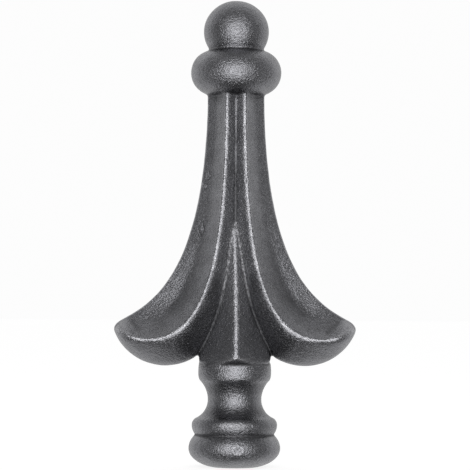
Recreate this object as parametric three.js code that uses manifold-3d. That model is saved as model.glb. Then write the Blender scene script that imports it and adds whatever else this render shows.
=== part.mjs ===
// Fence spear finial: a single piece of cast iron for the top of a railing bar.
// From the foot up: a turned base of ring, small bead, neck and collar, a ridged core wedge,
// two side petals with hollow flanks that close into a fluted shaft, a round bead and a ball.
// Units are millimetres, +Z is up, the front faces -Y, and the origin is the centre of the flat foot.
import * as THREE from 'three';
import { ParametricGeometry } from 'three/addons/geometries/ParametricGeometry.js';
import { mergeVertices } from 'three/addons/utils/BufferGeometryUtils.js';
import Module from 'manifold-3d';

// Overall size
const HEIGHT = 155;
const HALF_WIDTH = 40.2;

// Ball and bead on top
const BALL_RADIUS = 10.85;
const BALL_HALF_HEIGHT = 10.35;
const BALL_Z = HEIGHT - BALL_HALF_HEIGHT;
const BALL_FOOT_ANGLE = THREE.MathUtils.degToRad(-36);
const BEAD_Z = 131;
const BEAD_TUBE_RADIUS = 7.5;
const BEAD_RING_RADIUS = 7.55;
const BEAD_UNDERSIDE_ANGLE = THREE.MathUtils.degToRad(-84);
const BEAD_TOP_ANGLE = THREE.MathUtils.degToRad(78);

// Turned base: radius and height of each turn of its profile, from the foot up
const FOOT = new THREE.Vector2(7.5, 0);
const RING = new THREE.Vector2(15.25, 6.15);
const RING_UNDERSIDE_WIDTH = 11;
const GROOVE = new THREE.Vector2(13.3, 10.3);
const SMALL_BEAD = new THREE.Vector2(14.2, 13.7);
const SMALL_BEAD_TOP = new THREE.Vector2(12.5, 16.4);
const NECK = new THREE.Vector2(8.9, 22.3);
const COLLAR_FOOT = new THREE.Vector2(11.75, 28.9);
const COLLAR = new THREE.Vector2(12.1, 31);
const COLLAR_TOP = new THREE.Vector2(11.9, 33.9);

// Core wedge between the petals: its ridges lean out downward, and its sides flare to the stem
const CORE_BOTTOM_Z = 33;
const CORE_CHAMFER_Z = 35.5;
const CORE_FLARE_Z = 52;
const CORE_MIDDLE_Z = 66;
const CORE_TOP_Z = 81.2;
const CORE_POINT_Z = 90;
const CORE_RIDGE_FOOT_DEPTH = 15;
const CORE_RIDGE_TOP_DEPTH = 9.7;
const CORE_RIDGE_SAG = 0.5;
const CORE_FOOT_SLOPE = 0.88;
const CORE_TOP_SLOPE = 0.7;
const STEM_RADIUS = 11.85;
const CORE_FLARE_WIDTH = 5.2;
const CORE_MIDDLE_WIDTH = 4.1;
const CORE_TOP_WIDTH = 3;
const CORE_TRIM_RADIUS = 20;

// Petals: three curves in the XZ plane guide each one, the outer edge, the front ridge and the inner edge
const SHAFT_TOP_Z = 126;
const TIP = new THREE.Vector2(HALF_WIDTH, 45.3);
const EDGE_CURVE = new THREE.CubicBezierCurve(
  new THREE.Vector2(9.4, SHAFT_TOP_Z),
  new THREE.Vector2(9.4, 61.9),
  new THREE.Vector2(29.0, 53.7),
  new THREE.Vector2(37.8, 48.6),
);
const NOSE_CURVE = new THREE.QuadraticBezierCurve(
  EDGE_CURVE.v3,
  new THREE.Vector2(40.4, 47.1),
  TIP,
);
const RIDGE_CURVE = new THREE.CubicBezierCurve(
  new THREE.Vector2(3.3, SHAFT_TOP_Z),
  new THREE.Vector2(3.3, 81.1),
  new THREE.Vector2(5, 29.2),
  TIP,
);
const BELLY_CENTRE = new THREE.Vector2(23.4, 51.1);
const BELLY_RADIUS = 17.2;
const NOTCH_ANGLE = THREE.MathUtils.degToRad(-125.5);
const NOTCH_DROP = 0.8;
const NOTCH = new THREE.Vector2(
  BELLY_CENTRE.x + BELLY_RADIUS * Math.cos(NOTCH_ANGLE),
  BELLY_CENTRE.y + BELLY_RADIUS * Math.sin(NOTCH_ANGLE) - NOTCH_DROP,
);
const INNER_CURVE = new THREE.CubicBezierCurve(
  new THREE.Vector2(-2, SHAFT_TOP_Z),
  new THREE.Vector2(-2, 94),
  new THREE.Vector2(-11.4, 57.4),
  NOTCH,
);
const EDGE_END = 0.93;
const NOTCH_STATION = 0.72;

// Depths of the petals, measured from the middle plane
const RIDGE_DEPTH_TOP = 10.2;
const RIDGE_DEPTH_FLARE = 13;
const RIDGE_SWELL_END = 0.5;
const THINNING_START = 0.62;
const TIP_THINNING = 0.08;
const BLUNT_START = 0.86;
const NOSE_START = 0.92;
const EDGE_HALF_THICKNESS = 1.2;
const EDGE_ROUNDING = 0.6;
const NOTCH_HALF_THICKNESS = 3.2;
const LAND_HALF_THICKNESS = 0.4;
const LAND_THIN_STATION = 0.88;

// Hollow of a flank: a flat strip along the edge, then a rise that steepens up to the ridge
const HOLLOW_START = 0.3;
const HOLLOW_END = 0.9;
const STRIP_SLOPE_TOP = 0.54;
const STRIP_SLOPE_FLARE = 0.37;
const STRIP_SLOPE_TIP = 0.69;
const STRIP_FLARE_START = 0.15;
const STRIP_FLARE_END = 0.55;
const STRIP_TIP_START = 0.62;
const STRIP_TIP_END = 0.85;

// Wall inside a ridge: straight along the shaft, and rounded into a belly past the notch
const WALL_SLOPE = 0.68;
const BELLY_START = 0.55;
const BELLY_POWER = 0.6;

// Fineness of the facets
const TURN_SEGMENTS = 40;
const ARC_STEP = THREE.MathUtils.degToRad(14);
const PETAL_ROWS = 34;
const FLANK_STEPS = 7;
const WALL_STEPS = 6;
const NOSE_CROWDING = 1.25;
const MERGE_DISTANCE = 1e-4;

const IRON = new THREE.MeshStandardMaterial({ color: 0x55575a, roughness: 0.45, metalness: 0.85 });

const wasm = await Module();
wasm.setup();

// A closed geometry as a solid, with shared corners merged and collapsed triangles left out
function solidFrom(geometry) {
  const bare = geometry.clone();
  bare.deleteAttribute('normal');
  bare.deleteAttribute('uv');
  const merged = mergeVertices(bare, MERGE_DISTANCE);
  const triangles = [];
  for (let i = 0; i < merged.index.count; i += 3) {
    const [a, b, c] = [0, 1, 2].map((k) => merged.index.getX(i + k));
    if (a !== b && b !== c && c !== a) {
      triangles.push(a, b, c);
    }
  }
  return new wasm.Manifold(new wasm.Mesh({
    numProp: 3,
    vertProperties: Float32Array.from(merged.attributes.position.array),
    triVerts: Uint32Array.from(triangles),
  }));
}

// A solid as a geometry with flat facets
function geometryFrom(solid) {
  const mesh = solid.getMesh();
  const geometry = new THREE.BufferGeometry();
  geometry.setAttribute('position', new THREE.BufferAttribute(Float32Array.from(mesh.vertProperties), 3));
  geometry.setIndex(new THREE.BufferAttribute(Uint32Array.from(mesh.triVerts), 1));
  geometry.computeVertexNormals();
  return geometry;
}

// Points of an ellipse's arc in a turned profile, between two angles from the outward direction
function ellipseArc(centreR, centreZ, radiusR, radiusZ, from, to) {
  const steps = Math.ceil((to - from) / ARC_STEP);
  return new THREE.EllipseCurve(centreR, centreZ, radiusR, radiusZ, from, to).getPoints(steps);
}

// Points, from the lowest up, of the arc that is upright at a turn of the profile and runs to an end
function arc(turn, end) {
  const across = turn.x - end.x;
  const rise = end.y - turn.y;
  const radius = (across * across + rise * rise) / (2 * across);
  const sweep = Math.asin(rise / radius);
  const steps = Math.ceil(Math.abs(sweep) / ARC_STEP);
  const points = [];
  for (let i = 0; i <= steps; i++) {
    const angle = sweep * i / steps;
    const inward = radius * (1 - Math.cos(angle));
    points.push(new THREE.Vector2(turn.x - inward, turn.y + radius * Math.sin(angle)));
  }
  return rise > 0 ? points : points.reverse();
}

// A solid turned about the Z axis from a profile that runs from its lowest point on the axis to its highest
function turned(profile) {
  const geometry = new THREE.LatheGeometry(profile, TURN_SEGMENTS);
  geometry.rotateX(Math.PI / 2);
  return solidFrom(geometry);
}

function turnedBase() {
  const undersideR = RING.x - RING_UNDERSIDE_WIDTH;
  const footAngle = Math.acos((FOOT.x - undersideR) / RING_UNDERSIDE_WIDTH);
  const undersideDepth = RING.y / Math.sin(footAngle);
  return turned([
    new THREE.Vector2(0, FOOT.y),
    ...ellipseArc(undersideR, RING.y, RING_UNDERSIDE_WIDTH, undersideDepth, -footAngle, 0),
    ...arc(RING, GROOVE),
    ...arc(SMALL_BEAD, GROOVE),
    ...arc(SMALL_BEAD, SMALL_BEAD_TOP),
    ...arc(NECK, SMALL_BEAD_TOP),
    ...arc(NECK, COLLAR_FOOT),
    ...arc(COLLAR, COLLAR_FOOT),
    ...arc(COLLAR, COLLAR_TOP),
    new THREE.Vector2(0, COLLAR_TOP.y),
  ]);
}

function beadAndBall() {
  const tube = BEAD_TUBE_RADIUS;
  const bead = ellipseArc(BEAD_RING_RADIUS, BEAD_Z, tube, tube, BEAD_UNDERSIDE_ANGLE, BEAD_TOP_ANGLE);
  const ball = ellipseArc(0, BALL_Z, BALL_RADIUS, BALL_HALF_HEIGHT, BALL_FOOT_ANGLE, Math.PI / 2);
  return turned([new THREE.Vector2(0, bead[0].y), ...bead, ...ball]);
}

// A six-sided bar that tapers upward: a ridge in front and behind, and a flank on either side
function coreWedge() {
  const levels = [
    { z: CORE_BOTTOM_Z, side: STEM_RADIUS },
    { z: NOTCH.y, side: STEM_RADIUS },
    { z: CORE_FLARE_Z, side: CORE_FLARE_WIDTH },
    { z: CORE_MIDDLE_Z, side: CORE_MIDDLE_WIDTH },
    { z: CORE_TOP_Z, side: CORE_TOP_WIDTH },
  ];
  const corners = 6;
  const rows = levels.length + 1;
  const place = (u, v, target) => {
    const row = Math.round(v * rows);
    if (row === 0 || row === rows) {
      target.set(0, 0, row === 0 ? CORE_BOTTOM_Z : CORE_POINT_Z);
      return;
    }
    const { z, side } = levels[row - 1];
    const up = (z - CORE_CHAMFER_Z) / (CORE_TOP_Z - CORE_CHAMFER_Z);
    const straight = THREE.MathUtils.lerp(CORE_RIDGE_FOOT_DEPTH, CORE_RIDGE_TOP_DEPTH, up);
    const ridge = straight - CORE_RIDGE_SAG * 4 * up * (1 - up);
    const flank = ridge - THREE.MathUtils.lerp(CORE_FOOT_SLOPE, CORE_TOP_SLOPE, up) * side;
    const section = [[0, -ridge], [side, -flank], [side, flank], [0, ridge], [-side, flank], [-side, -flank]];
    const [x, y] = section[Math.round(u * corners) % corners];
    target.set(x, y, z);
  };
  const bar = solidFrom(new ParametricGeometry(place, corners, rows));
  const trim = turned([
    new THREE.Vector2(0, CORE_BOTTOM_Z),
    new THREE.Vector2(STEM_RADIUS, CORE_BOTTOM_Z),
    new THREE.Vector2(STEM_RADIUS, COLLAR_TOP.y),
    new THREE.Vector2(CORE_RIDGE_FOOT_DEPTH, CORE_CHAMFER_Z),
    new THREE.Vector2(CORE_TRIM_RADIUS, CORE_CHAMFER_Z),
    new THREE.Vector2(CORE_TRIM_RADIUS, CORE_POINT_Z),
    new THREE.Vector2(0, CORE_POINT_Z),
  ]);
  return bar.intersect(trim);
}

// The three guiding points of a petal at station s, from 0 at the shaft's top to 1 at the tip
function edgeAt(s) {
  if (s < EDGE_END) {
    return EDGE_CURVE.getPoint(s / EDGE_END);
  }
  return NOSE_CURVE.getPoint((s - EDGE_END) / (1 - EDGE_END));
}

function innerAt(s) {
  if (s < NOTCH_STATION) {
    return INNER_CURVE.getPoint(s / NOTCH_STATION);
  }
  const tipAngle = TIP.clone().sub(BELLY_CENTRE).angle() - 2 * Math.PI;
  const share = (s - NOTCH_STATION) / (1 - NOTCH_STATION);
  const angle = THREE.MathUtils.lerp(NOTCH_ANGLE, tipAngle, share);
  const radius = THREE.MathUtils.lerp(BELLY_RADIUS, TIP.distanceTo(BELLY_CENTRE), share);
  const drop = NOTCH_DROP * (1 - share) ** 4;
  return new THREE.Vector2(radius * Math.cos(angle), radius * Math.sin(angle) - drop).add(BELLY_CENTRE);
}

function ridgeDepthAt(s) {
  const swell = THREE.MathUtils.smoothstep(s, 0, RIDGE_SWELL_END);
  const thin = 1 - TIP_THINNING * THREE.MathUtils.smoothstep(s, THINNING_START, 1);
  const nose = Math.max(0, (s - NOSE_START) / (1 - NOSE_START));
  return THREE.MathUtils.lerp(RIDGE_DEPTH_TOP, RIDGE_DEPTH_FLARE, swell) * thin * Math.sqrt(1 - nose * nose);
}

// Share of its depth that a flank has reached at a share of its width, counted from the outer edge
function hollowRise(s, share) {
  const flare = THREE.MathUtils.smoothstep(s, STRIP_FLARE_START, STRIP_FLARE_END);
  const end = THREE.MathUtils.smoothstep(s, STRIP_TIP_START, STRIP_TIP_END);
  const strip = THREE.MathUtils.lerp(
    THREE.MathUtils.lerp(STRIP_SLOPE_TOP, STRIP_SLOPE_FLARE, flare),
    STRIP_SLOPE_TIP,
    end,
  );
  const span = HOLLOW_END - HOLLOW_START;
  const gain = (1 - strip) / (1 - HOLLOW_END + span / 2);
  const turn = THREE.MathUtils.clamp((share - HOLLOW_START) / span, 0, 1);
  const steep = span * (turn ** 3 - turn ** 4 / 2) + Math.max(0, share - HOLLOW_END);
  return strip * share + gain * steep;
}

// One point of a petal's front half: step 0 is the outer edge, then hollow flank, ridge, wall and inner edge.
// Toward the tip, flank and wall swell into a blunt nose.
function frontPoint(s, step) {
  const edge = edgeAt(s);
  const ridge = RIDGE_CURVE.getPoint(s);
  const inner = innerAt(s);
  const depth = ridgeDepthAt(s);
  const blunt = THREE.MathUtils.smoothstep(s, BLUNT_START, 1);
  const edgeDepth = Math.min(EDGE_HALF_THICKNESS, depth);
  const lastWall = 1 + FLANK_STEPS + WALL_STEPS;
  if (step === 0 || step > lastWall) {
    return { at: step === 0 ? edge : inner, depth: 0 };
  }
  if (step <= 1 + FLANK_STEPS) {
    const share = (step - 1) / FLANK_STEPS;
    const inset = Math.min(1, EDGE_ROUNDING / edge.distanceTo(ridge));
    const start = edge.clone().lerp(ridge, inset);
    const round = Math.sqrt(1 - (1 - share) ** 2);
    const rise = THREE.MathUtils.lerp(hollowRise(s, share), round, blunt);
    return { at: start.lerp(ridge, share), depth: THREE.MathUtils.lerp(edgeDepth, depth, rise) };
  }
  const share = (step - 1 - FLANK_STEPS) / WALL_STEPS;
  const belly = THREE.MathUtils.smoothstep(s, BELLY_START, NOTCH_STATION);
  const thinning = THREE.MathUtils.smoothstep(s, NOTCH_STATION, LAND_THIN_STATION);
  const land = THREE.MathUtils.lerp(NOTCH_HALF_THICKNESS, LAND_HALF_THICKNESS, thinning);
  const valley = Math.max(land, depth - WALL_SLOPE * ridge.distanceTo(inner));
  const innerDepth = Math.min(depth, THREE.MathUtils.lerp(valley, land, belly));
  const wall = (1 - share) ** THREE.MathUtils.lerp(1, BELLY_POWER, belly);
  const height = THREE.MathUtils.lerp(wall, Math.sqrt(1 - share ** 2), blunt);
  return { at: ridge.lerp(inner, share), depth: THREE.MathUtils.lerp(innerDepth, depth, height) };
}

// A petal on the right (side 1) or the left (side -1), lofted along its stations and closed at both ends
function petal(side) {
  const half = 2 + FLANK_STEPS + WALL_STEPS;
  const around = 2 * half;
  const place = (u, v, target) => {
    const row = Math.round(v * PETAL_ROWS);
    const turn = Math.round(u * around) % around;
    const s = 1 - (1 - Math.max(0, row - 1) / (PETAL_ROWS - 1)) ** NOSE_CROWDING;
    const front = turn <= half;
    const { at, depth } = frontPoint(s, front ? turn : around - turn);
    if (row === 0) {
      target.set(side * RIDGE_CURVE.v0.x, 0, SHAFT_TOP_Z);
    } else {
      target.set(side * at.x, front ? -depth : depth, at.y);
    }
  };
  const geometry = new ParametricGeometry(place, around, PETAL_ROWS);
  if (side < 0) {
    geometry.index.array.reverse();
  }
  return solidFrom(geometry);
}

const casting = [turnedBase(), coreWedge(), petal(1), petal(-1), beadAndBall()]
  .reduce((whole, piece) => whole.add(piece));

const finial = new THREE.Mesh(geometryFrom(casting), IRON);
finial.name = 'spear_finial';

const group = new THREE.Group();
group.add(finial);

export default group;
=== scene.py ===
import math

import bmesh
import bpy
from mathutils import Matrix, Vector, noise
from mathutils.bvhtree import BVHTree
from mathutils.kdtree import KDTree


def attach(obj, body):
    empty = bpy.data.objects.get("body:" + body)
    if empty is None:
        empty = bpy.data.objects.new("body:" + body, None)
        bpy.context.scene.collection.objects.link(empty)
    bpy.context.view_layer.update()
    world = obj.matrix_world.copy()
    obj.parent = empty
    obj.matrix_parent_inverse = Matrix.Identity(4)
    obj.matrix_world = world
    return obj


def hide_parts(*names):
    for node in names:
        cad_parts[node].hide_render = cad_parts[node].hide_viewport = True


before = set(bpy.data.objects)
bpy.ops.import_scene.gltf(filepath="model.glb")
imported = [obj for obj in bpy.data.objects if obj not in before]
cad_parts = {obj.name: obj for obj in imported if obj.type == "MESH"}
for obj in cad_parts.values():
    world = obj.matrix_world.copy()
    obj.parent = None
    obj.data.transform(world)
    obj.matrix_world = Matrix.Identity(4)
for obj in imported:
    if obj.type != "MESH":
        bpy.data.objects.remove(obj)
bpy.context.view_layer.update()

# Turned base
# The lowest stretch of the iron casting, round as if turned on a lathe: a base ring on a flat foot, a
# small bead above a groove, a hollow neck and a barrel-shaped collar that carries the leaves.
MM = 0.001
TURN_STEPS = 120
ARC_STEP = math.radians(6)

FOOT = Vector((7.5, 0.0)) * MM
RING = Vector((15.25, 6.15)) * MM
RING_UNDERSIDE_WIDTH = 11 * MM
GROOVE = Vector((13.0, 10.7)) * MM
SMALL_BEAD = Vector((14.2, 14.0)) * MM
SMALL_BEAD_TOP = Vector((12.5, 16.4)) * MM
NECK = Vector((8.9, 22.3)) * MM
COLLAR_FOOT = Vector((11.75, 28.9)) * MM
COLLAR = Vector((12.1, 31.0)) * MM
COLLAR_TOP = Vector((11.9, 34.4)) * MM


def ellipse_arc(centre, radius_r, radius_z, start, end):
    """Points of an ellipse's arc in a turned profile, between two angles from the outward direction."""
    steps = math.ceil((end - start) / ARC_STEP)
    angles = [start + (end - start) * i / steps for i in range(steps + 1)]
    return [centre + Vector((radius_r * math.cos(a), radius_z * math.sin(a))) for a in angles]


def turn_arc(turn, end):
    """Points, lowest first, of the arc that is upright at a turn of the profile and runs to an end."""
    across = turn.x - end.x
    rise = end.y - turn.y
    radius = (across * across + rise * rise) / (2 * across)
    sweep = math.asin(rise / radius)
    steps = math.ceil(abs(sweep) / ARC_STEP)
    angles = [sweep * i / steps for i in range(steps + 1)]
    points = [turn + Vector((radius * (math.cos(a) - 1), radius * math.sin(a))) for a in angles]
    return points if rise > 0 else points[::-1]


def spin_profile(shell, profile):
    """Turns a profile, which starts and ends on the axis, into a closed shell."""
    corners = [shell.verts.new((p.x, 0, p.y)) for p in profile]
    sides = [shell.edges.new(pair) for pair in zip(corners, corners[1:])]
    bmesh.ops.spin(
        shell,
        geom=corners + sides,
        cent=(0, 0, 0),
        axis=(0, 0, 1),
        angle=2 * math.pi,
        steps=TURN_STEPS,
        use_merge=True,
    )


casting = bmesh.new()

underside_r = RING.x - RING_UNDERSIDE_WIDTH
foot_angle = math.acos((FOOT.x - underside_r) / RING_UNDERSIDE_WIDTH)
underside_depth = RING.y / math.sin(foot_angle)
base_profile = [Vector((0, FOOT.y))]
base_profile += ellipse_arc(
    Vector((underside_r, RING.y)), RING_UNDERSIDE_WIDTH, underside_depth, -foot_angle, 0
)
base_turns = (
    (RING, GROOVE),
    (SMALL_BEAD, GROOVE),
    (SMALL_BEAD, SMALL_BEAD_TOP),
    (NECK, SMALL_BEAD_TOP),
    (NECK, COLLAR_FOOT),
    (COLLAR, COLLAR_FOOT),
    (COLLAR, COLLAR_TOP),
)
for turn, end in base_turns:
    base_profile += turn_arc(turn, end)[1:]
base_profile.append(Vector((0, COLLAR_TOP.y)))
spin_profile(casting, base_profile)

# Bead and ball
# The top of the iron casting, round like the base: a fat bead that caps the shaft, and a ball that
# sits in a fine crease on it.
BEAD_CENTRE = Vector((7.55, 131.0)) * MM
BEAD_TUBE_RADIUS = 7.5 * MM
BEAD_ARC = (math.radians(-84), math.radians(78))
BALL_CENTRE = Vector((0, 144.65)) * MM
BALL_RADIUS = 10.85 * MM
BALL_HALF_HEIGHT = 10.35 * MM
BALL_ARC = (math.radians(-33), math.radians(90))

bead = ellipse_arc(BEAD_CENTRE, BEAD_TUBE_RADIUS, BEAD_TUBE_RADIUS, *BEAD_ARC)
ball = ellipse_arc(BALL_CENTRE, BALL_RADIUS, BALL_HALF_HEIGHT, *BALL_ARC)
spin_profile(casting, [Vector((0, bead[0].y))] + bead + ball[:-1] + [Vector((0, ball[-1].y))])

# Core wedge
# The straight ridged leaf in the middle of the iron casting: a ridge in front and behind that leans out
# as it comes down, flanks that spread into the stem, and an overhang where it ends above the collar.
CORE_BOTTOM_Z = 33 * MM
CORE_CHAMFER_Z = 36 * MM
CORE_FLARE_Z = 52 * MM
CORE_TOP_Z = 81.2 * MM
CORE_POINT_Z = 90 * MM
CORE_FLARE_WIDTH = 5.2 * MM
CORE_TOP_WIDTH = 3 * MM
STEM_RADIUS = 11.85 * MM
STEM_TOP_Z = 37 * MM
CORE_FOOT_SLOPE = 0.88
CORE_TOP_SLOPE = 0.66
CORE_RIDGE_FOOT_DEPTH = 15 * MM
CORE_RIDGE_TOP_DEPTH = 9.7 * MM
CORE_RIDGE_SAG = 0.5 * MM
CORE_RIDGE_FOOT_ROUNDING = 0.9 * MM
CORE_RIDGE_TOP_ROUNDING = 0.3 * MM
CORE_RIDGE_FOOT_ASIDE = 0.45 * MM
CORE_RIDGE_TOP_ASIDE = -0.4 * MM
CORE_TIP_FALL = 0.8 * MM
CORE_TIP_FALL_Z = 74 * MM
CORE_ROWS = 60
CORE_FACE_STEPS = 40
MERGE_DISTANCE = 0.001 * MM


def mix(a, b, share):
    """The value that lies a share of the way from a to b."""
    return a + (b - a) * share


def ramp(value, start, end):
    """Rises smoothly from 0 at start to 1 at end."""
    share = min(1, max(0, (value - start) / (end - start)))
    return share * share * (3 - 2 * share)


def core_width(z):
    """Half the wedge's width from side to side at one height."""
    if z < STEM_TOP_Z:
        return STEM_RADIUS
    if z < CORE_FLARE_Z:
        return mix(STEM_RADIUS, CORE_FLARE_WIDTH, (z - STEM_TOP_Z) / (CORE_FLARE_Z - STEM_TOP_Z))
    if z < CORE_TOP_Z:
        return mix(CORE_FLARE_WIDTH, CORE_TOP_WIDTH, (z - CORE_FLARE_Z) / (CORE_TOP_Z - CORE_FLARE_Z))
    return CORE_TOP_WIDTH * (CORE_POINT_Z - z) / (CORE_POINT_Z - CORE_TOP_Z)


def core_front(z, side):
    """Point on the wedge's front at one height: side runs from -1 on the left flank to 1 on the right."""
    up = (z - CORE_CHAMFER_Z) / (CORE_TOP_Z - CORE_CHAMFER_Z)
    ridge = mix(CORE_RIDGE_FOOT_DEPTH, CORE_RIDGE_TOP_DEPTH, up) - CORE_RIDGE_SAG * 4 * up * (1 - up)
    ridge -= CORE_TIP_FALL * max(0, (z - CORE_TIP_FALL_Z) / (CORE_TOP_Z - CORE_TIP_FALL_Z)) ** 2
    share = min(1, max(0, up))
    slope = mix(CORE_FOOT_SLOPE, CORE_TOP_SLOPE, share)
    rounding = mix(CORE_RIDGE_FOOT_ROUNDING, CORE_RIDGE_TOP_ROUNDING, share)
    aside = mix(CORE_RIDGE_FOOT_ASIDE, CORE_RIDGE_TOP_ASIDE, share * share)
    x = side * core_width(z)
    fall = math.hypot(x - aside, rounding) - rounding
    depth = max(0, ridge - slope * fall)
    overhang = min(1, (z - COLLAR_TOP.y) / (CORE_CHAMFER_Z - COLLAR_TOP.y))
    reach = mix(STEM_RADIUS, CORE_RIDGE_FOOT_DEPTH, overhang)
    trim = min(1, reach / math.hypot(x, depth)) if z < CORE_CHAMFER_Z else 1
    return Vector((x * trim, -depth * trim, z))


def close_shell(shell):
    """Welds a shell's seams, fills its open ends and turns its faces outward."""
    bmesh.ops.remove_doubles(shell, verts=shell.verts, dist=MERGE_DISTANCE)
    bmesh.ops.holes_fill(shell, edges=[edge for edge in shell.edges if edge.is_boundary])
    bmesh.ops.recalc_face_normals(shell, faces=shell.faces)


def add_shell(whole, shell):
    """Moves a finished shell into the casting."""
    mesh = bpy.data.meshes.new("shell")
    shell.to_mesh(mesh)
    shell.free()
    whole.from_mesh(mesh)
    bpy.data.meshes.remove(mesh)


wedge = bmesh.new()
bmesh.ops.create_grid(wedge, x_segments=CORE_FACE_STEPS, y_segments=CORE_ROWS, size=1)
for corner in wedge.verts:
    height = mix(CORE_BOTTOM_Z, CORE_POINT_Z, (corner.co.y + 1) / 2)
    corner.co = core_front(height, corner.co.x)
back_half = bmesh.ops.duplicate(wedge, geom=wedge.verts[:] + wedge.edges[:] + wedge.faces[:])["geom"]
bmesh.ops.scale(
    wedge, vec=(1, -1, 1), verts=[item for item in back_half if isinstance(item, bmesh.types.BMVert)]
)
bmesh.ops.bridge_loops(wedge, edges=[edge for edge in wedge.edges if edge.is_boundary])
close_shell(wedge)
add_shell(casting, wedge)

# Petals
# The two side leaves of the iron casting: each runs down from the shaft as a hollow flank outside a bold
# rounded ridge, sweeps out to a blunt tip and turns under in a full belly. The back mirrors the front.
# Three curves in the middle plane, in millimetres, guide each one from the shaft's top to the tip.
SHAFT_TOP_Z = 126
TIP = (40.2, 45.3)
EDGE_CURVE = ((9.4, SHAFT_TOP_Z), (9.4, 61.9), (29.0, 53.7), (37.8, 48.6))
NOSE_CURVE = ((37.8, 48.6), (39.53, 47.6), (40.33, 46.5), TIP)
RIDGE_CURVE = ((3.3, SHAFT_TOP_Z), (3.3, 81.1), (5, 29.2), TIP)
BELLY_CENTRE = Vector((23.4, 51.1))
BELLY_RADIUS = 17.2
NOTCH_ANGLE = math.radians(-125.5)
NOTCH_DROP = Vector((0, 0.8))
NOTCH_DROP_POWER = 4
NOTCH = BELLY_CENTRE + BELLY_RADIUS * Vector((math.cos(NOTCH_ANGLE), math.sin(NOTCH_ANGLE))) - NOTCH_DROP
INNER_CURVE = ((-2, SHAFT_TOP_Z), (-2, 94), (-11.4, 57.4), NOTCH)

EDGE_END = 0.93
NOTCH_STATION = 0.72
RIDGE_SWELL_STATIONS = (0, 0.5)
THINNING_STATIONS = (0.62, 1)
NOSE_START = 0.92
BLUNT_STATIONS = (0.86, 1)
BELLY_STATIONS = (0.55, NOTCH_STATION)
LAND_STATIONS = (NOTCH_STATION, 0.88)
HOLLOW_FLARE_STATIONS = (0.15, 0.55)
HOLLOW_TIP_STATIONS = (0.57, 0.85)

RIDGE_DEPTH_TOP = 10.2 * MM
RIDGE_DEPTH_FLARE = 13.0 * MM
RIDGE_FLANK_ROUNDING = 1.2 * MM
RIDGE_WALL_ROUNDING = 2.2 * MM
ROUNDING_LIMIT = 0.4
CREST_PROBE = 0.1
TIP_THINNING = 0.08
EDGE_HALF_THICKNESS = 1.2 * MM
EDGE_ROUNDING = 0.6 * MM
LAND_HALF_THICKNESS = 0.4 * MM
NOTCH_HALF_THICKNESS = 3.2 * MM
HOLLOW_EDGE_SLOPE_TOP = 0.54
HOLLOW_EDGE_SLOPE_FLARE = 0.37
HOLLOW_EDGE_SLOPE_TIP = 0.85
HOLLOW_START = 0.3
HOLLOW_END = 0.9
WALL_SLOPE = 0.68
BELLY_POWER = 0.6

PETAL_ROWS = 150
RIM_STEPS = 4
FLANK_STEPS = 34
RIDGE_STEPS = 12
WALL_STEPS = 28
NOSE_CROWDING = 1.25


def along(curve, t):
    """Point of one of the guiding curves, in metres."""
    weights = ((1 - t) ** 3, 3 * t * (1 - t) ** 2, 3 * t * t * (1 - t), t ** 3)
    return sum((Vector(point) * weight for point, weight in zip(curve, weights)), Vector((0, 0))) * MM


def edge_at(s):
    """Outer edge of a petal at station s, from 0 at the shaft's top to 1 at the tip."""
    if s < EDGE_END:
        return along(EDGE_CURVE, s / EDGE_END)
    return along(NOSE_CURVE, (s - EDGE_END) / (1 - EDGE_END))


def inner_at(s):
    """Inner edge of a petal at station s: down to the notch above the collar, then round the belly."""
    if s < NOTCH_STATION:
        return along(INNER_CURVE, s / NOTCH_STATION)
    reach = Vector(TIP) - BELLY_CENTRE
    share = (s - NOTCH_STATION) / (1 - NOTCH_STATION)
    angle = mix(NOTCH_ANGLE, math.atan2(reach.y, reach.x), share)
    radius = mix(BELLY_RADIUS, reach.length, share)
    arc_point = BELLY_CENTRE + Vector((math.cos(angle), math.sin(angle))) * radius
    return (arc_point - NOTCH_DROP * (1 - share) ** NOTCH_DROP_POWER) * MM


def ridge_depth_at(s):
    """How far a petal's ridge stands out from the middle plane at station s."""
    swell = mix(RIDGE_DEPTH_TOP, RIDGE_DEPTH_FLARE, ramp(s, *RIDGE_SWELL_STATIONS))
    thin = 1 - TIP_THINNING * ramp(s, *THINNING_STATIONS)
    nose = max(0, (s - NOSE_START) / (1 - NOSE_START))
    return swell * thin * math.sqrt(max(0, 1 - nose * nose))


def hollow_rise(t, edge_slope):
    """Share of its depth that a flank has reached: a flat strip by the edge, then a steepening hollow."""
    width = HOLLOW_END - HOLLOW_START
    gain = (1 - edge_slope) / (1 - HOLLOW_END + width / 2)
    turn = min(1, max(0, (t - HOLLOW_START) / width))
    return edge_slope * t + gain * (width * (turn ** 3 - turn ** 4 / 2) + max(0, t - HOLLOW_END))


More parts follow.
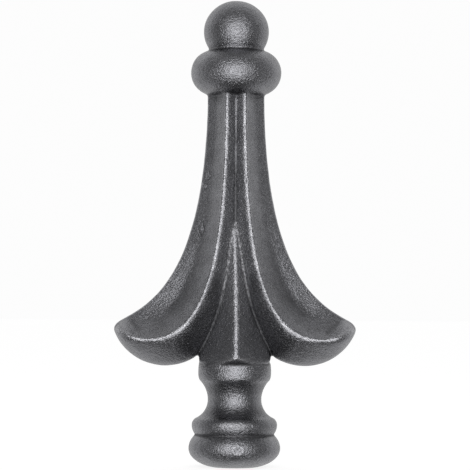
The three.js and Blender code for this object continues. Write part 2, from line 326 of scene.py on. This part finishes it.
def petal_section(s):
    """Front half of a petal's section at station s: rim, flank, rounded ridge, wall and inner edge."""
    edge, inner = edge_at(s), inner_at(s)
    ridge = along(RIDGE_CURVE, s)
    depth = ridge_depth_at(s)
    blunt = ramp(s, *BLUNT_STATIONS)
    rim_depth = min(EDGE_HALF_THICKNESS, depth)
    rim_inset = min(1, EDGE_ROUNDING / max((edge - ridge).length, MERGE_DISTANCE))
    flank_foot = edge.lerp(ridge, rim_inset)
    edge_slope = mix(HOLLOW_EDGE_SLOPE_TOP, HOLLOW_EDGE_SLOPE_FLARE, ramp(s, *HOLLOW_FLARE_STATIONS))
    edge_slope = mix(edge_slope, HOLLOW_EDGE_SLOPE_TIP, ramp(s, *HOLLOW_TIP_STATIONS))
    belly = ramp(s, *BELLY_STATIONS)
    land = mix(NOTCH_HALF_THICKNESS, LAND_HALF_THICKNESS, ramp(s, *LAND_STATIONS))
    valley = max(land, depth - WALL_SLOPE * (ridge - inner).length)
    inner_depth = min(depth, mix(valley, land, belly))
    wall_power = mix(1, BELLY_POWER, belly)

    def flank(t):
        at = flank_foot.lerp(ridge, t)
        rise = mix(hollow_rise(t, edge_slope), math.sqrt(1 - (1 - t) ** 2), blunt)
        return Vector((at.x, -mix(rim_depth, depth, rise), at.y))

    def wall(t):
        at = ridge.lerp(inner, t)
        rise = mix((1 - t) ** wall_power, math.sqrt(1 - t * t), blunt)
        return Vector((at.x, -mix(inner_depth, depth, rise), at.y))

    points = []
    for i in range(RIM_STEPS):
        turn = math.pi / 2 * i / RIM_STEPS
        at = edge.lerp(flank_foot, 1 - math.cos(turn))
        points.append(Vector((at.x, -rim_depth * math.sin(turn), at.y)))
    crest = flank(1)
    flank_run = max((flank(1 - CREST_PROBE) - crest).length / CREST_PROBE, MERGE_DISTANCE)
    wall_run = max((wall(CREST_PROBE) - crest).length / CREST_PROBE, MERGE_DISTANCE)
    flank_end = 1 - min(ROUNDING_LIMIT, RIDGE_FLANK_ROUNDING / flank_run)
    wall_start = min(ROUNDING_LIMIT, RIDGE_WALL_ROUNDING / wall_run)
    points += [flank(flank_end * i / FLANK_STEPS) for i in range(FLANK_STEPS)]
    for i in range(RIDGE_STEPS):
        t = i / RIDGE_STEPS
        points.append(flank(flank_end).lerp(crest, t).lerp(crest.lerp(wall(wall_start), t), t))
    points += [wall(mix(wall_start, 1, i / WALL_STEPS)) for i in range(WALL_STEPS + 1)]
    points.append(Vector((inner.x, 0, inner.y)))
    return points


petals = bmesh.new()
across_steps = RIM_STEPS + FLANK_STEPS + RIDGE_STEPS + WALL_STEPS + 1
bmesh.ops.create_grid(petals, x_segments=PETAL_ROWS, y_segments=across_steps, size=1)
sections = [petal_section(1 - (1 - row / PETAL_ROWS) ** NOSE_CROWDING) for row in range(PETAL_ROWS + 1)]
for corner in petals.verts:
    row = round((corner.co.x + 1) / 2 * PETAL_ROWS)
    step = round((corner.co.y + 1) / 2 * across_steps)
    corner.co = sections[row][step]
for axis in ("Y", "X"):
    bmesh.ops.mirror(
        petals, geom=petals.verts[:] + petals.edges[:] + petals.faces[:], axis=axis, merge_dist=0
    )
    close_shell(petals)
add_shell(casting, petals)

# The casting's skin
# All the forms above are one pour of iron, so they are fused into one closed skin. Its corners are
# softened as sand and tumbling leave them, its faces are slightly uneven, and it keeps its flaws.
SKIN_VOXEL = 0.4 * MM
SKIN_TRIANGLES = 195000
SOFTENING_ROUNDS = 2
SWELL_LENGTH = 5 * MM
SWELL_HEIGHT = 0.06 * MM
RIPPLE_LENGTH = 1.7 * MM
RIPPLE_HEIGHT = 0.02 * MM
FLAT_FOOT = (0.2 * MM, 1.5 * MM)
# A pit's place across and up, half its width and height, and its depth, all in millimetres. A burr's
# depth is below 0.
FLAWS = (
    (1.1, 6.3, 1.6, 1.4, 0.3),
    (-9.2, 96.9, 0.7, 1.8, -0.25),
    (-10.6, 93.3, 1.0, 1.4, -0.3),
    (-11.3, 79.0, 0.7, 2.2, -0.22),
    (3.6, 94.6, 0.8, 0.8, 0.35),
    (-29.6, 49.7, 1.2, 0.9, -0.2),
)
FLAW_RIM = 0.4
FLAW_RIM_START = 0.6
FLAW_RIM_END = 1.6
FLAW_WARP = 0.5 * MM
FLAW_WARP_LENGTH = 1.2 * MM


def with_modifier(mesh, kind, settings):
    """The mesh after one modifier is applied to it."""
    carrier = bpy.data.objects.new(mesh.name, mesh)
    bpy.context.scene.collection.objects.link(carrier)
    modifier = carrier.modifiers.new(kind, kind)
    for name, value in settings.items():
        setattr(modifier, name, value)
    result = bpy.data.meshes.new_from_object(carrier.evaluated_get(bpy.context.evaluated_depsgraph_get()))
    bpy.data.objects.remove(carrier)
    bpy.data.meshes.remove(mesh)
    return result


def soften(shell, rounds):
    """Evens out a shell, a little more in each round."""
    for _ in range(rounds):
        bmesh.ops.smooth_vert(
            shell, verts=shell.verts, factor=0.5, use_axis_x=True, use_axis_y=True, use_axis_z=True
        )


def flaw_depth(spot):
    """How far the front is sunk at one spot, or raised if below 0: pits with a rim, burrs with a moat."""
    depth = 0
    warped = spot + noise.noise_vector(spot / FLAW_WARP_LENGTH) * FLAW_WARP
    for x, z, half_width, half_height, sunk in FLAWS:
        away = math.hypot((warped.x / MM - x) / half_width, (warped.z / MM - z) / half_height)
        if spot.y < 0 and away < FLAW_RIM_END:
            rim = FLAW_RIM * ramp(away, FLAW_RIM_START, 1) * (1 - ramp(away, 1, FLAW_RIM_END))
            depth += sunk * MM * (1 - ramp(away, 0, 1) - rim)
    return depth


bmesh.ops.remove_doubles(casting, verts=casting.verts, dist=MERGE_DISTANCE)
bmesh.ops.recalc_face_normals(casting, faces=casting.faces)
skin_mesh = bpy.data.meshes.new("spear_finial_skin")
casting.to_mesh(skin_mesh)
casting.free()
skin_mesh = with_modifier(skin_mesh, "REMESH", {"mode": "VOXEL", "voxel_size": SKIN_VOXEL})
skin = bmesh.new()
skin.from_mesh(skin_mesh)
soften(skin, SOFTENING_ROUNDS)
skin.normal_update()
for spot in skin.verts:
    swell = SWELL_HEIGHT * noise.noise(spot.co / SWELL_LENGTH)
    ripple = RIPPLE_HEIGHT * noise.noise(spot.co / RIPPLE_LENGTH)
    above_foot = ramp(spot.co.z, *FLAT_FOOT)
    spot.co += spot.normal * ((swell + ripple) * above_foot - flaw_depth(spot.co))
triangles = sum(len(face.verts) - 2 for face in skin.faces)
skin.to_mesh(skin_mesh)
skin.free()
skin_mesh = with_modifier(skin_mesh, "DECIMATE", {"ratio": SKIN_TRIANGLES / triangles})

# The skin's marks
# What each spot of the skin carries: wear where a corner stands out, painted light that makes the wedge's
# faces paler, painted shade and a duller finish where it is hollow, painted shade where other parts of
# the casting hide it, on the walls beside the wedge and in the neck, and a rougher strip by the petals'
# edges.
EVENING_ROUNDS = 36
WORN_RISE = (0.12 * MM, 0.42 * MM)
# Painted shade in hollows: how far a spot must sink to be darkened, and how much is left near the top
CREASE_SHADE_SINK = (0.04 * MM, 0.2 * MM)
CREASE_SHADE_LEFT_ABOVE = 0.4
SHADE_REACH = 25 * MM
SHADE_RAYS = 40
SHADE_SPAN = (0.33, 0.72)
SHADE_FADE = (88 * MM, 116 * MM)
RAY_START = 0.1 * MM
GOLDEN_TURN = math.pi * (3 - math.sqrt(5))
# The wedge's sides, and what lies beside them, as shares of its half width
BORDER_INSIDE = (0.3, 0.5)
BORDER_OUTSIDE = (1.2, 1.5)
WEDGE_LIGHT_SIDE = (0.75, 1)
WALL_SHADE_SIDE = (0.9, 1.2)

# Painted light on the wedge's faces, then painted shade on the walls beside the wedge and in the neck
WEDGE_LIGHT_SHARE = 0.4
WEDGE_LIGHT_FOOT = (45 * MM, 55 * MM)
WALL_SHADE_SHARE = 0.65
WALL_SHADE_STATIONS = (0.5, 0.72)
WALL_SHADE_SPAN = (1.5 * MM, 5.5 * MM)
NECK_SHADE_SHARE = 0.4
NECK_SHADE_RINGS = (Vector((9.8, 26.2)) * MM, Vector((10.4, 18.6)) * MM)
NECK_SHADE_SPAN = (0.8 * MM, 3 * MM)
STRIP_SPAN = (3.2 * MM, 6.5 * MM)
STRIP_FOOT = (48 * MM, 56 * MM)
STRIP_FADE = (65 * MM, 95 * MM)
STRIP_FADE_SHARE = 0.8
LINE_SAMPLES = 200


def line_tree(points):
    """Search tree for the points, across and up, of a line on the casting."""
    tree = KDTree(len(points))
    for i, point in enumerate(points):
        tree.insert((point.x, 0, point.y), i)
    tree.balance()
    return tree


def nearness(line, across, up, near, far):
    """1 close to a line and 0 far from it."""
    return 1 - ramp(line.find((across, 0, up))[2], near, far)


def hidden_share(spot):
    """Share of the open air before one spot that other parts of the casting take up."""
    start = spot.co + spot.normal * RAY_START
    hidden = total = 0
    for ray in rays:
        share = ray.dot(spot.normal)
        if share > 0:
            total += share
            if surroundings.ray_cast(start, ray, SHADE_REACH)[0]:
                hidden += share
    return hidden / total


skin = bmesh.new()
skin.from_mesh(skin_mesh)
skin.normal_update()
wear_and_painted_light = skin.verts.layers.float.new("wear_and_painted_light")
crease_shade = skin.verts.layers.float.new("crease_shade")
shaded = skin.verts.layers.float.new("shaded")
strip = skin.verts.layers.float.new("strip")

even = skin.copy()
soften(even, EVENING_ROUNDS)
surroundings = BVHTree.FromBMesh(skin)
rays = []
for i in range(SHADE_RAYS):
    height = 1 - (2 * i + 1) / SHADE_RAYS
    level = math.sqrt(1 - height * height)
    rays.append(Vector((level * math.cos(i * GOLDEN_TURN), level * math.sin(i * GOLDEN_TURN), height)))
stations = [i / LINE_SAMPLES for i in range(LINE_SAMPLES)]
wall_stations = [mix(*WALL_SHADE_STATIONS, s) for s in stations]
edge_line = line_tree([edge_at(EDGE_END * s) for s in stations])
wall_line = line_tree([along(RIDGE_CURVE, s).lerp(inner_at(s), 0.5) for s in wall_stations])
neck_line = line_tree(NECK_SHADE_RINGS)
for spot, evened in zip(skin.verts, even.verts):
    across, up = abs(spot.co.x), spot.co.z
    low = 1 - ramp(up, *SHADE_FADE)
    beside = across / core_width(up) if up < CORE_TOP_Z else math.inf
    rise = (spot.co - evened.co).dot(spot.normal)

    border = ramp(beside, *BORDER_INSIDE) * (1 - ramp(beside, *BORDER_OUTSIDE))
    # Painted light: the wedge's faces above its foot are made paler, as brighter light would make them.
    wedge_painted_light = WEDGE_LIGHT_SHARE * (1 - ramp(beside, *WEDGE_LIGHT_SIDE)) * ramp(up, *WEDGE_LIGHT_FOOT)
    spot[wear_and_painted_light] = max(ramp(rise, *WORN_RISE) * (1 - border), wedge_painted_light)
    # Painted shade: hollows and creases are darkened, less so near the top.
    spot[crease_shade] = ramp(-rise, *CREASE_SHADE_SINK) * mix(CREASE_SHADE_LEFT_ABOVE, 1, low)

    # Painted shade: spots that the casting hides from the open air, the walls beside the wedge and the
    # neck are darkened.
    dim = low * ramp(hidden_share(spot), *SHADE_SPAN)
    wall_shade = WALL_SHADE_SHARE * nearness(wall_line, across, up, *WALL_SHADE_SPAN)
    neck_shade = NECK_SHADE_SHARE * nearness(neck_line, math.hypot(across, spot.co.y), up, *NECK_SHADE_SPAN)
    spot[shaded] = max(dim, wall_shade * ramp(beside, *WALL_SHADE_SIDE), neck_shade)

    roughened = nearness(edge_line, across, up, *STRIP_SPAN) * ramp(up, *STRIP_FOOT)
    spot[strip] = roughened * (1 - STRIP_FADE_SHARE * ramp(up, *STRIP_FADE))
even.free()
for face in skin.faces:
    face.smooth = True
skin.to_mesh(skin_mesh)
skin.free()
skin_mesh.name = "spear_finial_skin"
finial = bpy.data.objects.new("spear_finial_skin", skin_mesh)
bpy.context.scene.collection.objects.link(finial)

# Cast iron
# Bare dark iron with a fine sandy grain from the mould: grey with darker specks where the skin is whole,
# paler where it is worn, paler with painted light on the wedge's faces, dull and dark with painted shade
# in hollows, and nearly black with painted shade where other parts of the casting hide it.
FINE_GRAIN = 0.42 * MM
COARSE_GRAIN = 1.0 * MM
PATCH_SIZE = 7 * MM
GRAIN_STRETCH = (1, 1, 1.5)
IRON_COLOURS = ((0.194, 0.1945, 0.206), (0.245, 0.246, 0.261))
IRON_SPAN = (0.35, 0.65)
SPECK_COLOUR = (0.114, 0.114, 0.121)
SPECK_SPAN = (0.35, 0.65)
SPECK_SHARE = 0.35
# Painted shade: the colours mixed in for hollows and for hidden spots
CREASE_SHADE_COLOUR = (0.05, 0.05, 0.053)
CREASE_SHADE_SHARE = 0.8
HIDDEN_SHADE_COLOUR = (0.025, 0.025, 0.027)
HIDDEN_SHADE_SHARE = 0.92
# Paler colour for worn corners and for the painted light on the wedge's faces
WEAR_AND_LIGHT_COLOUR = (0.46, 0.46, 0.48)
WEAR_AND_LIGHT_SPAN = (0.42, 0.58)
ROUGHNESS = (0.2, 0.28)
ROUGHNESS_SPAN = (0.3, 0.7)
CREASE_ROUGHNESS = 0.2
GRAIN_HEIGHT = 0.18 * MM
COARSE_HEIGHT_SHARE = 1.1
STRIP_HEIGHT_SHARE = 0.7

iron = bpy.data.materials.new("cast_iron")
iron.use_nodes = True
nodes = iron.node_tree.nodes
links = iron.node_tree.links
surface = nodes["Principled BSDF"]
surface.inputs["Metallic"].default_value = 1
place = nodes.new("ShaderNodeTexCoord")
stretch = nodes.new("ShaderNodeMapping")
stretch.inputs["Scale"].default_value = GRAIN_STRETCH
links.new(place.outputs["Object"], stretch.inputs["Vector"])


def mark(name):
    """One of the skin's marks, as a value."""
    node = nodes.new("ShaderNodeAttribute")
    node.attribute_name = name
    return node.outputs["Fac"]


def grain(size, detail):
    """Noise of one grain size, a little longer along the casting's rings than up them."""
    node = nodes.new("ShaderNodeTexNoise")
    node.inputs["Scale"].default_value = 1 / size
    node.inputs["Detail"].default_value = detail
    links.new(stretch.outputs["Vector"], node.inputs["Vector"])
    return node.outputs["Fac"]


def span(value, low, high, to_low, to_high):
    """Maps one range of values to another, and holds it there."""
    node = nodes.new("ShaderNodeMapRange")
    links.new(value, node.inputs["Value"])
    for name, number in zip(("From Min", "From Max", "To Min", "To Max"), (low, high, to_low, to_high)):
        node.inputs[name].default_value = number
    return node.outputs["Result"]


def work(operation, a, b):
    """Arithmetic on two values, each a socket or a number."""
    node = nodes.new("ShaderNodeMath")
    node.operation = operation
    for socket, value in zip(node.inputs, (a, b)):
        if isinstance(value, (int, float)):
            socket.default_value = value
        else:
            links.new(value, socket)
    return node.outputs["Value"]


def blend(share, a, b):
    """Mixes two colours, each a socket or three numbers."""
    node = nodes.new("ShaderNodeMix")
    node.data_type = "RGBA"
    links.new(share, node.inputs[0])
    for socket, colour in zip((node.inputs[6], node.inputs[7]), (a, b)):
        if isinstance(colour, tuple):
            socket.default_value = (*colour, 1)
        else:
            links.new(colour, socket)
    return node.outputs[2]


fine = grain(FINE_GRAIN, 2)
coarse = grain(COARSE_GRAIN, 2)
patches = grain(PATCH_SIZE, 3)
crease_shade_mask = mark("crease_shade")

colour = blend(span(patches, *IRON_SPAN, 0, 1), *IRON_COLOURS)
colour = blend(span(fine, *SPECK_SPAN, SPECK_SHARE, 0), colour, SPECK_COLOUR)
# Painted shade in hollows, darker painted shade where hidden, then wear and the wedge's painted light
colour = blend(work("MULTIPLY", crease_shade_mask, CREASE_SHADE_SHARE), colour, CREASE_SHADE_COLOUR)
colour = blend(work("MULTIPLY", mark("shaded"), HIDDEN_SHADE_SHARE), colour, HIDDEN_SHADE_COLOUR)
colour = blend(work("MULTIPLY", mark("wear_and_painted_light"), span(fine, *WEAR_AND_LIGHT_SPAN, 0, 1)), colour, WEAR_AND_LIGHT_COLOUR)
links.new(colour, surface.inputs["Base Color"])
roughness = span(coarse, *ROUGHNESS_SPAN, *ROUGHNESS)
links.new(
    work("ADD", roughness, work("MULTIPLY", crease_shade_mask, CREASE_ROUGHNESS)), surface.inputs["Roughness"]
)

sandy = nodes.new("ShaderNodeBump")
strip_height = work("ADD", work("MULTIPLY", mark("strip"), STRIP_HEIGHT_SHARE), 1)
links.new(work("ADD", fine, work("MULTIPLY", coarse, COARSE_HEIGHT_SHARE)), sandy.inputs["Height"])
links.new(work("MULTIPLY", strip_height, GRAIN_HEIGHT), sandy.inputs["Distance"])
links.new(sandy.outputs["Normal"], surface.inputs["Normal"])
skin_mesh.materials.append(iron)

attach(finial, "root")
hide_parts("spear_finial")

# Floor
# A plain sheet of white paper that the finial stands on. It glows a little, so that it stays as pale as
# the backdrop, and it is left out of the iron's reflections.
FLOOR_SIZE = 8
FLOOR_GREY = 0.3
FLOOR_GLOW = 0.83
FLOOR_ROUGHNESS = 0.9

sheet = bmesh.new()
bmesh.ops.create_grid(sheet, x_segments=1, y_segments=1, size=FLOOR_SIZE / 2)
floor_mesh = bpy.data.meshes.new("floor")
sheet.to_mesh(floor_mesh)
sheet.free()
floor = bpy.data.objects.new("floor", floor_mesh)
bpy.context.scene.collection.objects.link(floor)
pale = bpy.data.materials.new("pale_floor")
pale.use_nodes = True
pale_surface = pale.node_tree.nodes["Principled BSDF"]
pale_surface.inputs["Base Color"].default_value = (FLOOR_GREY, FLOOR_GREY, FLOOR_GREY, 1)
pale_surface.inputs["Roughness"].default_value = FLOOR_ROUGHNESS
pale_surface.inputs["Specular IOR Level"].default_value = 0
pale_surface.inputs["Emission Color"].default_value = (1, 1, 1, 1)
pale_surface.inputs["Emission Strength"].default_value = FLOOR_GLOW
floor_mesh.materials.append(pale)
floor.visible_glossy = False
floor.visible_shadow = False

# Studio light
# A wide soft lamp with a bright core, just above the lens. Round it, as the iron reflects it, are grey
# walls at the sides, a white sweep behind that comes forward under the object, and a dark table in front.
LAMP_PLACE = (-0.04, -1.0, 0.1)
LAMP_RINGS = (("wide_lamp", math.radians(35), 2.4), ("core_lamp", math.radians(9), 7))
SIDE_LIGHT = 0.36
BACK_LIGHT = 1.22
SWEEP_END = 0.52
SWEEP_LEAN = 0.12
GRAZING_START = 0.7
GRAZING_SHADE = 0.4
TABLE_FRONT = (0, -0.3)
TABLE_DROP = (-0.3, -0.7)
TABLE_SHADE = 0.55
BACKDROP_LIGHT = 0.98

for name, half_angle, radiance in LAMP_RINGS:
    lamp_radius = -LAMP_PLACE[1] * math.tan(half_angle)
    lamp_data = bpy.data.lights.new(name, "AREA")
    lamp_data.shape = "DISK"
    lamp_data.size = 2 * lamp_radius
    lamp_data.energy = radiance * math.pi * math.pi * lamp_radius ** 2
    lamp = bpy.data.objects.new(name, lamp_data)
    lamp.location = LAMP_PLACE
    lamp.rotation_euler = (math.radians(90), 0, 0)
    lamp.visible_camera = False
    bpy.context.scene.collection.objects.link(lamp)

world = bpy.data.worlds.new("studio")
bpy.context.scene.world = world
world.use_nodes = True
# From here on, span and work build the studio's nodes.
nodes = world.node_tree.nodes
links = world.node_tree.links
nodes.clear()
direction = nodes.new("ShaderNodeTexCoord")
parts = nodes.new("ShaderNodeSeparateXYZ")
links.new(direction.outputs["Generated"], parts.inputs["Vector"])
steep = work("ABSOLUTE", parts.outputs["Z"], 0)
back = work("ADD", parts.outputs["Y"], work("MULTIPLY", steep, SWEEP_LEAN))
sweep = span(back, 0, SWEEP_END, SIDE_LIGHT, BACK_LIGHT)
sweep.node.interpolation_type = "SMOOTHSTEP"
grazing = span(parts.outputs["Y"], GRAZING_START, 1, 1, 1 - GRAZING_SHADE)
front = span(parts.outputs["Y"], *TABLE_FRONT, 0, 1)
table = span(parts.outputs["Z"], *TABLE_DROP, 0, TABLE_SHADE)
shade = work("SUBTRACT", 1, work("MULTIPLY", front, table))
strength = work("MULTIPLY", work("MULTIPLY", sweep, grazing), shade)
studio = nodes.new("ShaderNodeBackground")
backdrop = nodes.new("ShaderNodeBackground")
backdrop.inputs["Color"].default_value = (1, 1, 1, 1)
backdrop.inputs["Strength"].default_value = BACKDROP_LIGHT
path = nodes.new("ShaderNodeLightPath")
choose = nodes.new("ShaderNodeMixShader")
out = nodes.new("ShaderNodeOutputWorld")
links.new(strength, studio.inputs["Strength"])
links.new(path.outputs["Is Camera Ray"], choose.inputs["Fac"])
links.new(studio.outputs["Background"], choose.inputs[1])
links.new(backdrop.outputs["Background"], choose.inputs[2])
links.new(choose.outputs["Shader"], out.inputs["Surface"])
bpy.context.scene.view_settings.view_transform = "Standard"

# Camera
# Level with the middle of the petals and some 0.8 m in front, as the photograph was taken.
PHOTO_SIDE = 470
PHOTO_SCALE = 3.006 / MM
CAMERA_DISTANCE = 0.832
CAMERA_HEIGHT = 0.0587
CAMERA_ASIDE = -0.13 * MM
AIM_HEIGHT = 0.077
ROLL = math.radians(0.3)

camera_data = bpy.data.cameras.new("camera")
camera_data.sensor_width = 36
camera_data.angle = 2 * math.atan(PHOTO_SIDE / 2 / PHOTO_SCALE / CAMERA_DISTANCE)
camera = bpy.data.objects.new("camera", camera_data)
camera.location = (CAMERA_ASIDE, -CAMERA_DISTANCE, CAMERA_HEIGHT)
look = Vector((0, CAMERA_DISTANCE, AIM_HEIGHT - CAMERA_HEIGHT))
camera.rotation_mode = "QUATERNION"
camera.rotation_quaternion = look.to_track_quat("-Z", "Y") @ Matrix.Rotation(ROLL, 3, "Z").to_quaternion()
bpy.context.scene.collection.objects.link(camera)
bpy.context.scene.camera = camera
